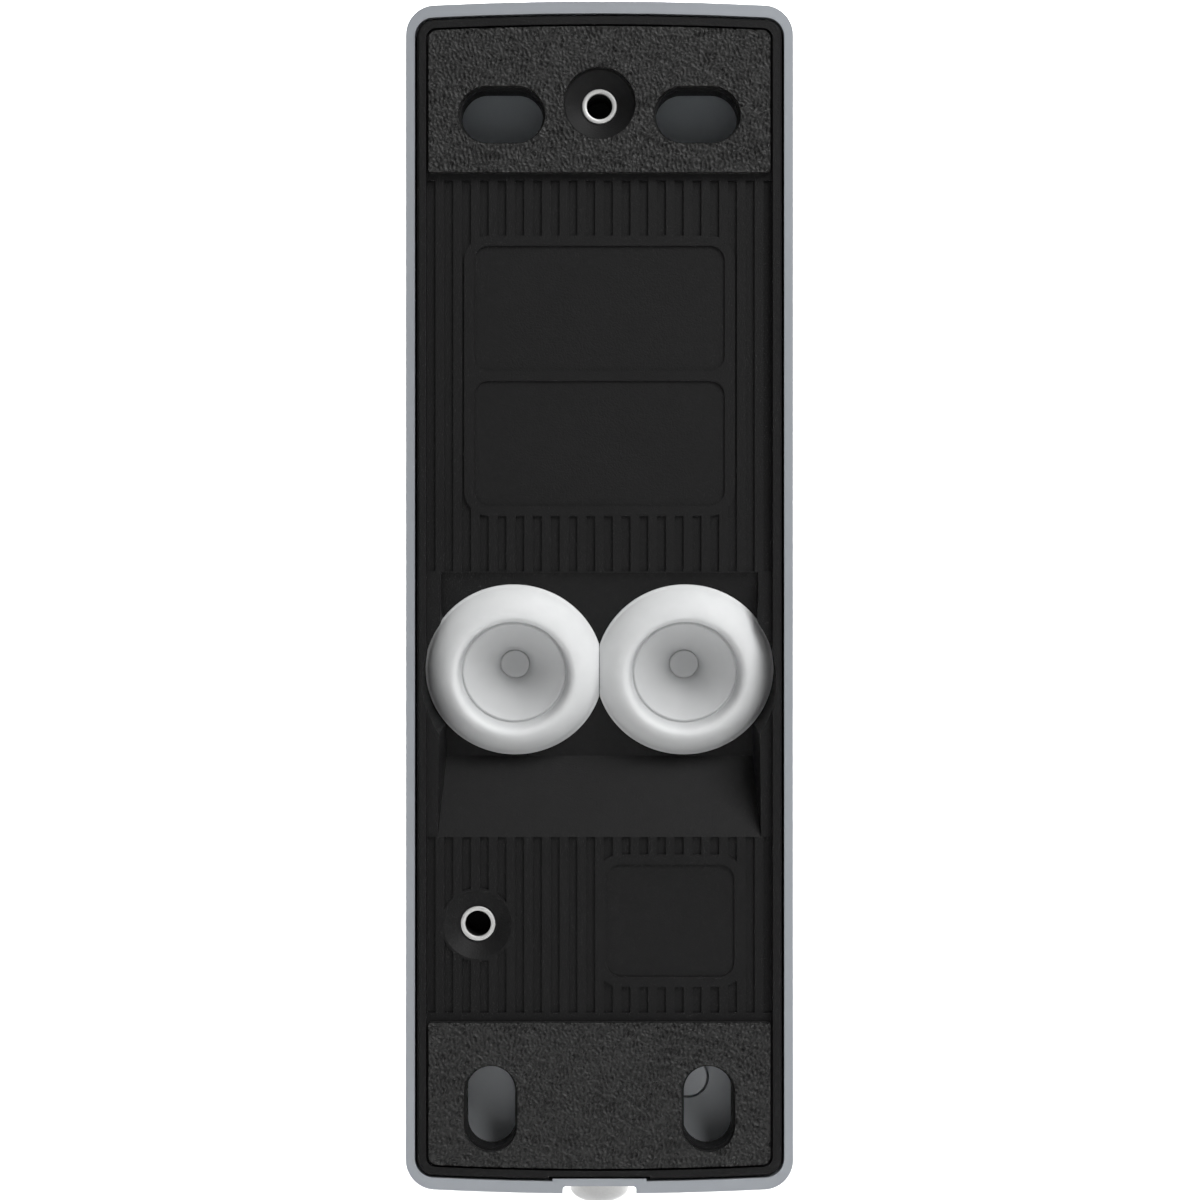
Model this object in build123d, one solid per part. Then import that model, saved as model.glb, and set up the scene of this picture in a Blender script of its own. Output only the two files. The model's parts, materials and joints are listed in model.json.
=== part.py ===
"""Slim wall-mounted door station: crowned cover over a moulded chassis with wall pads and cable seals.

Millimetres, +Z up, the wall plane at Y = 0, the front toward -Y. A "depth" is a distance from the
wall plane toward the front, so depth d lies at Y = -d. Sketches are drawn in (X, Z).
"""

import math
import os

from build123d import *

os.makedirs("parts", exist_ok=True)

# Overall sizes.
WIDTH = 52.0
HEIGHT = 160.0
DEPTH = 31.0
CROWN_RADIUS = 455.0
CORNER_RADIUS = 4.0

# Cover.
SIDE_WALL = 1.2
END_WALL = 1.6
FRONT_WALL = 3.0
COVER_OFF_WALL = 0.5
CHASSIS_GAP = 0.35
FRONT_EDGE_RADIUS = 2.0

# Chassis.
RIM_DEPTH = 0.3
RIM_WIDTH = 1.2
RIM_EDGE_CHAMFER = 0.3
FLOOR_DEPTH = 1.2
PLATE_THICKNESS = 3.4
RIM_FRONT = 9.0
GROOVE_DEPTH = 0.4
GROOVES_EACH_SIDE = 10
LABEL_DEPTH = 0.3
LABEL_MARGIN = 1.36
PAD_GAP = 0.35
PAD_CORNER = 0.3
EAR_LENGTH = 21.05
TRAY_WALL = 1.6

# Cable pocket and its two seals.
SEAT_TILT = 15.6
SEAT_STEP = 0.6
SEAT_PLATE = 2.0
RAMP_LENGTH = 10.4
LOWER_FIELD_LENGTH = 24.8
GASKET_RADIUS = 11.9
GASKET_SQUEEZE = 0.3
GASKET_CREST = 3.1
GASKET_REST_ROOM = 1.84
FLANGE_OVERLAP = 1.1
GASKET_CLEARANCE = 0.3
SEAL_SPLIT = 0.04

# Wall fixings.
SLOT_LENGTH = 11.0
UPPER_SLOT_WIDTH = 7.05
LOWER_SLOT_WIDTH = 6.5
INSERT_RADIUS = 2.35
INSERT_BORE = 1.7
INSERT_DEPTH = 2.4
INSERT_LENGTH = 6.0

# Cover screw, its washer and the clamp nut.
SCREW_DEPTH = 5.6
SCREW_RADIUS = 1.98
SCREW_HEAD_RADIUS = 4.0
SCREW_HEAD_HEIGHT = 2.7
WASHER_RADIUS = 4.4
WASHER_THICKNESS = 0.5
NOTCH_HALF_WIDTH = 4.95
NOTCH_RISE = 1.0
NUT_SIDE = 7.0
NUT_THICKNESS = 3.2

# Cover liner plates behind the slots, and the magnet in the lower one.
LINER_DEPTH = 10.0
LINER_THICKNESS = 1.5
LINER_EDGE = 2.9
LINER_POST_RADIUS = 2.5
MAGNET_RADIUS = 2.75
MAGNET_GAP = 0.2
MAGNET_THICKNESS = 2.2

# Inner parts.
COLUMN_RADIUS = 3.2
STANDOFF_RADIUS = 2.5
POST_RADIUS = 2.0
LID_SCREW_RADIUS = 1.2
BOARD_SCREW_RADIUS = 0.95
POST_SCREW_RADIUS = 0.75
SCREW_CLEARANCE = 0.2
CAMERA_BAY = 16.5
BARREL_RADIUS = 6.0
LAMP_X = 11.2
LAMP_RADIUS = 1.5
SPEAKER_RADIUS = 14.0
READER_HALF = 9.0
BUTTON_RADIUS = 9.8
BUTTON_ROOM = 12.5
RING_WIDTH = 1.9
RING_FLANGE = 1.1
MIC_RADIUS = 0.7
LID_GAP = 4.4
LID_FACE = 1.4
SEAL_THICKNESS = 0.6
BOARD_THICKNESS = 1.6
FRONT_ROOM = 5.6
WINDOW_THICKNESS = 2.0
TAPE_THICKNESS = 0.2
CALL_TRAVEL = 0.7
RESET_TRAVEL = 0.4

# Values that follow from the ones above.
HALF = WIDTH / 2
END = HEIGHT / 2
CHASSIS_HALF = HALF - SIDE_WALL - CHASSIS_GAP
CHASSIS_END = END - END_WALL - CHASSIS_GAP
RIM_HALF = CHASSIS_HALF - RIM_WIDTH
RIM_END = CHASSIS_END - RIM_WIDTH + 0.05
PLATE_FRONT = FLOOR_DEPTH + PLATE_THICKNESS
PAD_EDGE = CHASSIS_END - EAR_LENGTH
TRAY_HALF = CHASSIS_HALF - 1.85
TRAY_END = PAD_EDGE - 2.5
BAY_HALF = TRAY_HALF - TRAY_WALL
BAY_END = TRAY_END - TRAY_WALL
TILT = math.radians(SEAT_TILT)
GASKET_X = GASKET_RADIUS - GASKET_SQUEEZE
NECK_RADIUS = GASKET_RADIUS - 3.9
SEAT_LENGTH = 2 * GASKET_RADIUS * math.cos(TILT) + GASKET_REST_ROOM + 0.44
POCKET_LENGTH = SEAT_LENGTH + RAMP_LENGTH
POCKET_HALF = RIM_HALF - 1.85
POCKET_BOTTOM = -PAD_EDGE + LOWER_FIELD_LENGTH
POCKET_TOP = POCKET_BOTTOM + POCKET_LENGTH
FOLD_Z = POCKET_TOP - SEAT_LENGTH
SEAT_START = FLOOR_DEPTH + SEAT_STEP
FOLD_DEPTH = SEAT_START + SEAT_LENGTH * math.tan(TILT)
GASKET_Z = POCKET_TOP - GASKET_REST_ROOM - GASKET_RADIUS * math.cos(TILT)
GASKET_DEPTH = SEAT_START + (POCKET_TOP - GASKET_Z) * math.tan(TILT)
UPPER_FIELD = (POCKET_TOP + 0.15, PAD_EDGE - 0.9)
LOWER_FIELD = (-PAD_EDGE + 1.15, POCKET_BOTTOM)
GROOVE_PITCH = RIM_HALF / (GROOVES_EACH_SIDE - 0.25)
UPPER_SLOT = (CHASSIS_HALF - 11.35, CHASSIS_END - 13.35)
LOWER_SLOT = (CHASSIS_HALF - 9.85, -CHASSIS_END + 9.55)
UPPER_INSERT = (0.0, CHASSIS_END - 11.75)
LOWER_INSERT = (RIM_HALF - 6.85, sum(LOWER_FIELD) / 2)
NOTCH_Z = -END + NOTCH_RISE
BOSS_Z = -END + END_WALL + 0.4
CLAMP_Z = BOSS_Z + 2.0
LID_FRONT = DEPTH - LID_GAP
LID_INNER = LID_FRONT - LID_FACE
BOARD_FRONT = LID_INNER - FRONT_ROOM
BOARD_REAR = BOARD_FRONT - BOARD_THICKNESS
TRAY_FRONT = BOARD_REAR - 2.6
LID_REAR = TRAY_FRONT + SEAL_THICKNESS
WINDOW_REAR = DEPTH - WINDOW_THICKNESS
LEDGE = WINDOW_REAR - TAPE_THICKNESS
WINDOW_HALF = HALF - 6.0
WINDOW_END = END - 18.0
CAMERA_Z = BAY_END - 8.4
CAMERA_REAR = PLATE_FRONT + 6.4
CAMERA_FRONT = CAMERA_REAR + 1.2
HOLDER_FRONT = CAMERA_FRONT + 6.0
SPEAKER_Z = CAMERA_Z - CAMERA_BAY - SPEAKER_RADIUS
READER_Z = SPEAKER_Z - SPEAKER_RADIUS - READER_HALF - 1.0
BUTTON_Z = READER_Z - READER_HALF - BUTTON_ROOM
RING_INNER = BUTTON_RADIUS + 0.2
RING_OUTER = RING_INNER + RING_WIDTH
MIC_Z = -BAY_END + 2.9
BOARD_TOP = SPEAKER_Z + SPEAKER_RADIUS
BOARD_BOTTOM = -BAY_END + 6.9
COLUMN_X = TRAY_HALF - 4.4
COLUMN_Z = TRAY_END - 4.3
COLUMNS = [(x, z) for x in (-COLUMN_X, COLUMN_X) for z in (-COLUMN_Z, COLUMN_Z)]
STANDOFF_X = BAY_HALF - 3.8
STANDOFFS = [(x, z) for x in (-STANDOFF_X, STANDOFF_X) for z in (POCKET_BOTTOM - 1.3, BOARD_TOP - 3.5)]
CAMERA_POSTS = [(x, CAMERA_Z + z) for x in (-9.8, 9.8) for z in (-6.0, 5.9)]
RESET = (BAY_HALF - 6.0, BOARD_BOTTOM + 3.0)
MAGNET = (-LOWER_SLOT[0] + 2.4, LOWER_SLOT[1] + 2.2)
LINER_LOW = PAD_EDGE + 0.4
LINER_HIGH = CHASSIS_END - 0.9


def slab(sketch, near, far):
    """Solid between two depths over a sketch in (X, Z)."""
    return extrude(Plane.XZ.offset(near) * sketch, far - near)


def rod(x, z, radius, near, far):
    """Round bar along the depth."""
    return slab(Pos(x, z) * Circle(radius), near, far)


def tube(x, z, outer, inner, near, far):
    """Ring along the depth."""
    return slab(Pos(x, z) * (Circle(outer) - Circle(inner)), near, far)


def cone(x, z, near_radius, far_radius, near, far):
    """Tapered bar along the depth."""
    place = Plane(origin=(x, -near, z), x_dir=(1, 0, 0), z_dir=(0, -1, 0))
    return place * Pos(0, 0, (far - near) / 2) * Cone(near_radius, far_radius, far - near)


def block(x_range, z_range, near, far):
    """Box between two X values, two Z values and two depths."""
    x0, x1 = x_range
    z0, z1 = z_range
    sketch = Pos((x0 + x1) / 2, (z0 + z1) / 2) * Rectangle(x1 - x0, z1 - z0)
    return slab(sketch, near, far)


def panel(half_width, half_height, corner):
    """Upright rounded rectangle centred on the origin."""
    return RectangleRounded(2 * half_width, 2 * half_height, corner)


def outline(half_width, apex, corner):
    """Upright outline whose two ends are slightly crowned."""
    side = apex - CROWN_RADIUS + math.sqrt(CROWN_RADIUS**2 - half_width**2)
    edges = [
        Line((-half_width, -side), (-half_width, side)),
        ThreePointArc((-half_width, side), (0, apex), (half_width, side)),
        Line((half_width, side), (half_width, -side)),
        ThreePointArc((half_width, -side), (0, -apex), (-half_width, -side)),
    ]
    face = make_face(edges)
    return fillet(face.vertices(), corner)


def turned(points, place):
    """Solid of revolution from (radius, height) points, set on a plane."""
    section = Plane.XZ * make_face(Polyline(*points, close=True))
    return place * revolve(section, Axis.Z)


def seat_plane(side):
    """Plane of one cable seal: origin on the seat, normal out of the pocket."""
    return Plane(
        origin=(side * GASKET_X, -GASKET_DEPTH, GASKET_Z),
        x_dir=(1, 0, 0),
        z_dir=(0, math.cos(TILT), -math.sin(TILT)),
    )


def screw_plane(z):
    """Plane across the cover screw's upright axis."""
    return Plane(origin=(0, -SCREW_DEPTH, z), x_dir=(1, 0, 0), z_dir=(0, 0, 1))


def front_plane(x, z, depth):
    """Plane facing the front at one point."""
    return Plane(origin=(x, -depth, z), x_dir=(1, 0, 0), z_dir=(0, -1, 0))


def save(shape, name):
    """Write one named piece."""
    export_step(shape, f"parts/{name}.step")


def label_areas():
    """Plain areas between the grooves, each with its recessed label fields."""
    x_half = RIM_HALF - 5.05
    low, high = UPPER_FIELD
    middle = (low + high) / 2
    height = high - low - 14.85
    field = (height - 3 * LABEL_MARGIN) / 2
    shift = (field + LABEL_MARGIN) / 2
    upper = Pos(0, middle) * RectangleRounded(2 * x_half, height, 3.35)
    label = RectangleRounded(2 * (x_half - LABEL_MARGIN), field, 2.0)
    areas = [(upper, [Pos(0, middle + shift) * label, Pos(0, middle - shift) * label])]
    low, high = LOWER_FIELD
    height = high - low - 5.85
    x0 = -(RIM_HALF - 3.75)
    x1 = 0.48
    centre = Pos((x0 + x1) / 2, (low + high) / 2 + 0.55)
    lower = centre * RectangleRounded(x1 - x0, height, 3.35)
    label = centre * RectangleRounded(x1 - x0 - 2 * LABEL_MARGIN, height - 2 * LABEL_MARGIN, 2.0)
    areas.append((lower, [label]))
    return areas


def groove_sketch():
    """Upright grooves of both fields, stopped round the label areas and the lower insert."""
    width = GROOVE_PITCH / 2
    plain = [area for area, _ in label_areas()]
    plain.append(Pos(*LOWER_INSERT) * Circle(4.9))
    bars = []
    for low, high in (UPPER_FIELD, LOWER_FIELD):
        for step in range(-GROOVES_EACH_SIDE, GROOVES_EACH_SIDE):
            x = (step + 0.5) * GROOVE_PITCH
            bars.append(Pos(x, (low + high) / 2) * Rectangle(width, high - low))
    sketch = Sketch() + bars
    for area in plain:
        sketch -= area
    return sketch


def slot(x, z, length, width, upright):
    """Round-ended slot in (X, Z)."""
    turn = 90 if upright else 0
    return Pos(x, z) * Rot(0, 0, turn) * SlotOverall(length, width)


def fixing_slots(extra):
    """The four fixing slots, widened all round by half the extra."""
    shapes = []
    for side in (-1, 1):
        x, z = UPPER_SLOT
        shapes.append(slot(side * x, z, SLOT_LENGTH + extra, UPPER_SLOT_WIDTH + extra, False))
        x, z = LOWER_SLOT
        shapes.append(slot(side * x, z, SLOT_LENGTH + extra, LOWER_SLOT_WIDTH + extra, True))
    return shapes


def pocket_section():
    """Cable pocket cut across X: tilted seat down to the fold, ramp back to the floor."""
    points = [(-SEAT_START, POCKET_TOP), (-FOLD_DEPTH, FOLD_Z), (-SEAT_START, POCKET_BOTTOM)]
    return make_face(Polyline(*points, close=True))


def pocket_shell():
    """Wall of the cable pocket standing into the electronics bay."""
    grown = offset(pocket_section(), SEAT_PLATE, kind=Kind.INTERSECTION)
    shell = extrude(Plane.YZ * grown, BAY_HALF + 0.5, both=True)
    return shell & block((-HALF, HALF), (-END, END), PLATE_FRONT - 0.5, DEPTH)


def pocket_void():
    """Space of the cable pocket with drafted side walls."""
    points = [
        (0.0, POCKET_TOP),
        (-SEAT_START, POCKET_TOP),
        (-FOLD_DEPTH, FOLD_Z),
        (-FLOOR_DEPTH, POCKET_BOTTOM),
        (0.0, POCKET_BOTTOM),
    ]
    wedge = extrude(Plane.YZ * make_face(Polyline(*points, close=True)), HALF, both=True)
    high = POCKET_TOP + 10.0
    low = POCKET_BOTTOM - 10.0
    mouth = [
        (-POCKET_HALF + 0.11, high),
        (POCKET_HALF - 0.11, high),
        (POCKET_HALF + 0.51, low),
        (-POCKET_HALF - 0.51, low),
    ]
    face = Plane.XZ.offset(0.2) * make_face(Polyline(*mouth, close=True))
    return wedge & extrude(face, FOLD_DEPTH + 2.0, taper=4)


def gasket_voids(side):
    """Clearance round one cable seal, the hole for its neck and room for its inner flange."""
    seat = seat_plane(side)
    ring = seat * Pos(0, 0, 7) * Cylinder(GASKET_RADIUS + GASKET_CLEARANCE, 14)
    neck = seat * Pos(0, 0, -2) * Cylinder(NECK_RADIUS + 0.1, 6)
    inner = seat * Pos(0, 0, -SEAT_PLATE - 1.5) * Cylinder(NECK_RADIUS + FLANGE_OVERLAP + 0.2, 3)
    return [ring, neck, inner]


def insert_void(x, z):
    """Cup and blind hole for one thread insert."""
    cup = cone(x, z, 4.6, 2.6, FLOOR_DEPTH, INSERT_DEPTH)
    hole = rod(x, z, INSERT_RADIUS + 0.03, FLOOR_DEPTH, INSERT_DEPTH + INSERT_LENGTH)
    return [cup, hole]


def clamp_voids():
    """Open slot for the cover screw and pocket for its nut, both open to the front."""
    low = CLAMP_Z - 3.0
    high = CLAMP_Z + NUT_THICKNESS + 0.5
    return [
        block((-2.3, 2.3), (low, high), SCREW_DEPTH - 2.3, RIM_FRONT + 1),
        block((-3.9, 3.9), (CLAMP_Z, high), 1.8, RIM_FRONT + 1),
        block((-2.4, 2.4), (CLAMP_Z, high + 1.5), 3.2, RIM_FRONT + 1),
        block((-6.8, 6.8), (-END, BOSS_Z + 0.35), 0, RIM_FRONT + 1),
    ]


def tray_walls():
    """Wall ring round the electronics bay, with its screw columns, standoffs and posts."""
    ring = panel(TRAY_HALF, TRAY_END, 3.0) - panel(BAY_HALF, BAY_END, 1.4)
    body = slab(ring, PLATE_FRONT, TRAY_FRONT)
    start = PLATE_FRONT - 0.5
    for x, z in COLUMNS:
        body += rod(x, z, COLUMN_RADIUS, start, TRAY_FRONT)
    for x, z in STANDOFFS:
        body += rod(x, z, STANDOFF_RADIUS, start, BOARD_REAR)
    for x, z in CAMERA_POSTS:
        body += rod(x, z, POST_RADIUS, start, CAMERA_REAR)
    for x, z in (UPPER_INSERT, LOWER_INSERT):
        body += rod(x, z, 5.0, start, INSERT_DEPTH + INSERT_LENGTH + 1.0)
    return body


def chassis():
    """Moulded rear frame: rim, ribbed floor, two slotted ears, cable pocket, electronics tray."""
    body = slab(outline(CHASSIS_HALF, CHASSIS_END, 2.2), RIM_DEPTH, RIM_FRONT)
    body = chamfer(body.faces().sort_by(Axis.Y)[-1].edges(), RIM_EDGE_CHAMFER)
    inner = outline(RIM_HALF, RIM_END, 1.4)
    body -= slab(inner, RIM_DEPTH, FLOOR_DEPTH)
    ears = inner - Rectangle(2 * HALF, 2 * TRAY_END)
    body -= slab(ears, PLATE_FRONT, RIM_FRONT)
    body -= slab(panel(BAY_HALF, BAY_END, 1.4), PLATE_FRONT, RIM_FRONT)
    body += tray_walls()
    body += pocket_shell()
    body += block((-6.8, 6.8), (CLAMP_Z - 1.2, CLAMP_Z), PLATE_FRONT, RIM_FRONT)
    body -= pocket_void()
    for side in (-1, 1):
        for void in gasket_voids(side):
            body -= void
    body -= slab(groove_sketch(), FLOOR_DEPTH, FLOOR_DEPTH + GROOVE_DEPTH)
    for _, labels in label_areas():
        for label in labels:
            body -= slab(label, FLOOR_DEPTH, FLOOR_DEPTH + LABEL_DEPTH)
    for x, z in (UPPER_INSERT, LOWER_INSERT):
        for void in insert_void(x, z):
            body -= void
    for shape in fixing_slots(0):
        body -= slab(shape, 0, RIM_FRONT)
    for void in clamp_voids():
        body -= void
    for x0, x1 in ((-14.4, -7.6), (7.6, 14.4)):
        body -= block((x0, x1), (RIM_END - 0.4, END), 4.7, 7.2)
    for x, z in COLUMNS:
        body -= rod(x, z, LID_SCREW_RADIUS + 0.05, TRAY_FRONT - 8.0, TRAY_FRONT)
    for x, z in STANDOFFS:
        body -= rod(x, z, BOARD_SCREW_RADIUS + 0.05, BOARD_REAR - 5.0, BOARD_REAR)
    for x, z in CAMERA_POSTS:
        body -= rod(x, z, POST_SCREW_RADIUS + 0.05, CAMERA_REAR - 4.0, CAMERA_REAR)
    return body


def wall_pad(side):
    """Compressible wall pad of one ear: side 1 is the upper one, -1 the lower one."""
    edge = PAD_EDGE
    area = Pos(0, side * (edge + END)) * Rectangle(2 * HALF, 2 * END)
    face = outline(RIM_HALF - PAD_GAP, RIM_END - PAD_GAP, 1.2) & area
    corners = face.vertices().filter_by(lambda v: abs(v.Y - side * edge) < 0.01)
    face = fillet(corners, PAD_CORNER)
    for shape in fixing_slots(0.7):
        face -= shape
    if side > 0:
        face -= Pos(*UPPER_INSERT) * Circle(4.85)
    return slab(face, 0, FLOOR_DEPTH)


def cable_gasket():
    """Soft seal for the right cable: outer flange, neck in the seat plate, inner flange, thin membrane."""
    radius = GASKET_RADIUS
    points = [
        (0, -2.8),
        (2.1, -2.8),
        (2.6, -2.0),
        (3.6, -0.9),
        (5.2, 0.3),
        (radius - 4.5, GASKET_CREST - 1.9),
        (radius - 4.3, GASKET_CREST - 0.7),
        (radius - 3.9, GASKET_CREST - 0.1),
        (radius - 3.6, GASKET_CREST),
        (radius - 3.0, GASKET_CREST - 0.2),
        (radius - 1.5, GASKET_CREST - 1.3),
        (radius - 0.3, GASKET_CREST - 2.5),
        (radius, 0.3),
        (radius, 0),
        (NECK_RADIUS, 0),
        (NECK_RADIUS, -SEAT_PLATE),
        (NECK_RADIUS + FLANGE_OVERLAP, -SEAT_PLATE),
        (NECK_RADIUS + FLANGE_OVERLAP, -SEAT_PLATE - 1.4),
        (0, -SEAT_PLATE - 1.4),
    ]
    body = turned(points, seat_plane(1))
    return body - block((-HALF, SEAL_SPLIT / 2), (-END, END), -5, DEPTH)


def thread_insert(x, z):
    """Threaded metal insert with a knurled waist."""
    far = INSERT_DEPTH + INSERT_LENGTH
    body = rod(x, z, INSERT_RADIUS, INSERT_DEPTH, far)
    body -= tube(x, z, INSERT_RADIUS + 1, INSERT_RADIUS - 0.3, INSERT_DEPTH + 2.2, INSERT_DEPTH + 3.2)
    return body - rod(x, z, INSERT_BORE, INSERT_DEPTH, far)


def electronics_lid():
    """Front half of the electronics housing."""
    body = slab(panel(TRAY_HALF, TRAY_END, 3.0), LID_REAR, LID_FRONT)
    body = chamfer(body.faces().sort_by(Axis.Y)[0].edges(), 0.8)
    body -= slab(panel(BAY_HALF, BAY_END, 1.4), LID_REAR, LID_INNER)
    for x, z in COLUMNS:
        body += rod(x, z, COLUMN_RADIUS, LID_REAR, LID_INNER)
    for x in (-12.4, 12.4):
        body += rod(x, CAMERA_Z - 5.8, 1.6, BOARD_FRONT + 2.4, LID_INNER)
    for x, z in COLUMNS:
        body -= rod(x, z, LID_SCREW_RADIUS + SCREW_CLEARANCE, LID_REAR, LID_FRONT)
        body -= rod(x, z, 2.5, LID_FRONT - 1.8, LID_FRONT)
    body -= rod(0, CAMERA_Z, BARREL_RADIUS + 1.4, LID_INNER, LID_FRONT)
    for x in (-LAMP_X, LAMP_X):
        body -= rod(x, CAMERA_Z, LAMP_RADIUS + 0.3, LID_INNER, LID_FRONT)
    for shape in speaker_slots():
        body -= slab(shape, LID_INNER, LID_FRONT)
    body -= rod(0, BUTTON_Z, 2.2, LID_INNER, LID_FRONT)
    body -= rod(*RESET, 1.6, LID_INNER, LID_FRONT)
    body -= rod(0, MIC_Z, MIC_RADIUS + 0.1, LID_INNER, LID_FRONT)
    return body


def lid_seal():
    """Flat seal between the tray and the lid."""
    ring = panel(TRAY_HALF, TRAY_END, 3.0) - panel(BAY_HALF, BAY_END, 1.4)
    return slab(ring, TRAY_FRONT, LID_REAR)


def socket_screw(x, z, head_radius, head, shank_radius, seat, length):
    """Small pan-head screw whose head rests on the depth given and whose shank points to the wall."""
    body = rod(x, z, head_radius, seat, seat + head)
    body = chamfer(body.faces().sort_by(Axis.Y)[0].edges(), 0.3)
    body += rod(x, z, shank_radius, seat - length, seat + 0.2)
    cross = Rectangle(head_radius * 1.1, 0.5) + Rectangle(0.5, head_radius * 1.1)
    return body - slab(Pos(x, z) * cross, seat + head - 0.6, seat + head)


def lid_screws():
    """Four screws that close the lid on the tray."""
    seat = LID_FRONT - 1.8
    length = seat - TRAY_FRONT + 7.0
    return Compound([socket_screw(x, z, 2.2, 1.5, LID_SCREW_RADIUS, seat, length) for x, z in COLUMNS])


def main_board():
    """Main circuit board with a narrower tongue at the bottom."""
    tongue = BAY_HALF - 8.0
    low = -BAY_END + 1.4
    body = block((-BAY_HALF + 1.0, BAY_HALF - 1.0), (BOARD_BOTTOM, BOARD_TOP), BOARD_REAR, BOARD_FRONT)
    body += block((-tongue, tongue), (low, BOARD_BOTTOM + 1.0), BOARD_REAR, BOARD_FRONT)
    for x, z in STANDOFFS:
        body -= rod(x, z, BOARD_SCREW_RADIUS + SCREW_CLEARANCE, BOARD_REAR, BOARD_FRONT)
    return body


def board_parts():
    """Chips, capacitors and small headers on both faces of the main board."""
    rear = [(-8, -2, 12, 12, 1.4), (8, 0, 9, 9, 1.2), (9, -12, 7, 5, 1.1), (-11, -18, 6, 6, 2.4)]
    front = [(-12, 2, 7, 7, 1.2), (0, 1, 9, 6, 1.1), (12, 1, 5, 6, 1.6)]
    front += [(-13, -16, 5, 5, 2.2), (13, -16, 4, 3, 1.0)]
    pieces = []
    for x, z, wide, tall, thick in rear:
        span = (SPEAKER_Z + z - tall / 2, SPEAKER_Z + z + tall / 2)
        pieces.append(block((x - wide / 2, x + wide / 2), span, BOARD_REAR - thick, BOARD_REAR))
    for x, z, wide, tall, thick in front:
        span = (READER_Z + z - tall / 2, READER_Z + z + tall / 2)
        pieces.append(block((x - wide / 2, x + wide / 2), span, BOARD_FRONT, BOARD_FRONT + thick))
    for x in (-9.0, 9.0):
        pieces.append(rod(x, BOARD_TOP - 5.0, 2.5, BOARD_REAR - 7.0, BOARD_REAR))
    return Compound(pieces)


def board_screws():
    """Four screws that hold the main board on its standoffs."""
    radius = BOARD_SCREW_RADIUS
    return Compound([socket_screw(x, z, 1.9, 1.3, radius, BOARD_FRONT, 6.0) for x, z in STANDOFFS])


def network_jack():
    """Network socket on the wall side of the main board, open toward the cable pocket."""
    top = POCKET_BOTTOM - 4.3
    low = -BAY_END + 2.9
    near = BOARD_REAR - 12.8
    body = block((-14.4, 1.1), (low, top), near, BOARD_REAR)
    body -= block((-12.6, -0.7), (low + 2.0, top), near + 1.6, BOARD_REAR - 3.2)
    return body - block((-9.6, -3.7), (low + 2.0, top), BOARD_REAR - 3.4, BOARD_REAR - 1.6)


def terminal_block():
    """Six-way terminal block on the wall side of the main board."""
    top = POCKET_BOTTOM - 4.3
    x0, x1 = 3.0, BAY_HALF - 2.0
    body = block((x0, x1), (BOARD_BOTTOM + 1.0, top), BOARD_REAR - 8.0, BOARD_REAR)
    step = (x1 - x0) / 6
    for index in range(6):
        x = x0 + (index + 0.5) * step
        body -= block((x - 0.9, x + 0.9), (top - 3.0, top), BOARD_REAR - 4.6, BOARD_REAR - 1.8)
        body -= rod(x, top - 4.6, 0.8, BOARD_REAR - 8.0, BOARD_REAR - 6.5)
    return body


def camera_board():
    """Image sensor board on its four posts."""
    body = block((-12.0, 12.0), (CAMERA_Z - 8.3, CAMERA_Z + 8.1), CAMERA_REAR, CAMERA_FRONT)
    for x, z in CAMERA_POSTS:
        body -= rod(x, z, POST_SCREW_RADIUS + SCREW_CLEARANCE, CAMERA_REAR, CAMERA_FRONT)
    return body


def camera_screws():
    """Four screws of the sensor board."""
    radius = POST_SCREW_RADIUS
    return Compound([socket_screw(x, z, 1.5, 1.0, radius, CAMERA_FRONT, 4.5) for x, z in CAMERA_POSTS])


def lens_holder():
    """Square holder round the image sensor with a bore for the lens barrel."""
    body = block((-7.0, 7.0), (CAMERA_Z - 7.0, CAMERA_Z + 7.0), CAMERA_FRONT, HOLDER_FRONT)
    return body - rod(0, CAMERA_Z, BARREL_RADIUS + 0.05, CAMERA_FRONT, HOLDER_FRONT)


def lens_barrel():
    """Lens barrel standing on the holder and reaching through the lid."""
    far = LID_FRONT + 0.8
    body = rod(0, CAMERA_Z, BARREL_RADIUS, HOLDER_FRONT - 3.5, far)
    body += rod(0, CAMERA_Z, BARREL_RADIUS + 0.8, HOLDER_FRONT, HOLDER_FRONT + 1.0)
    body += rod(0, CAMERA_Z, BARREL_RADIUS + 0.9, far - 4.0, far)
    body -= rod(0, CAMERA_Z, 3.6, HOLDER_FRONT - 3.5, far)
    return body - rod(0, CAMERA_Z, 4.7, far - 2.0, far)


def lens_element():
    """Front element of the lens, domed toward the front."""
    far = LID_FRONT + 0.8
    points = [(0, 0), (4.6, 0), (4.6, 0.5), (4.0, 0.85), (3.0, 1.2), (1.5, 1.5), (0, 1.6)]
    return turned(points, front_plane(0, CAMERA_Z, far - 2.0))


def led_board():
    """Board that carries the two infrared lamps round the lens."""
    near = BOARD_FRONT + 1.4
    body = block((-14.4, 14.4), (CAMERA_Z - 7.5, CAMERA_Z + 7.0), near, near + 1.0)
    return body - rod(0, CAMERA_Z, BARREL_RADIUS + 1.3, near, near + 1.0)


def infrared_leds():
    """Two infrared lamps standing through the lid."""
    near = BOARD_FRONT + 2.4
    far = LID_FRONT + 0.3
    lamps = [rod(x, CAMERA_Z, LAMP_RADIUS, near, far) for x in (-LAMP_X, LAMP_X)]
    return Compound([fillet(lamp.faces().sort_by(Axis.Y)[0].edges(), 1.0) for lamp in lamps])


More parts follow.
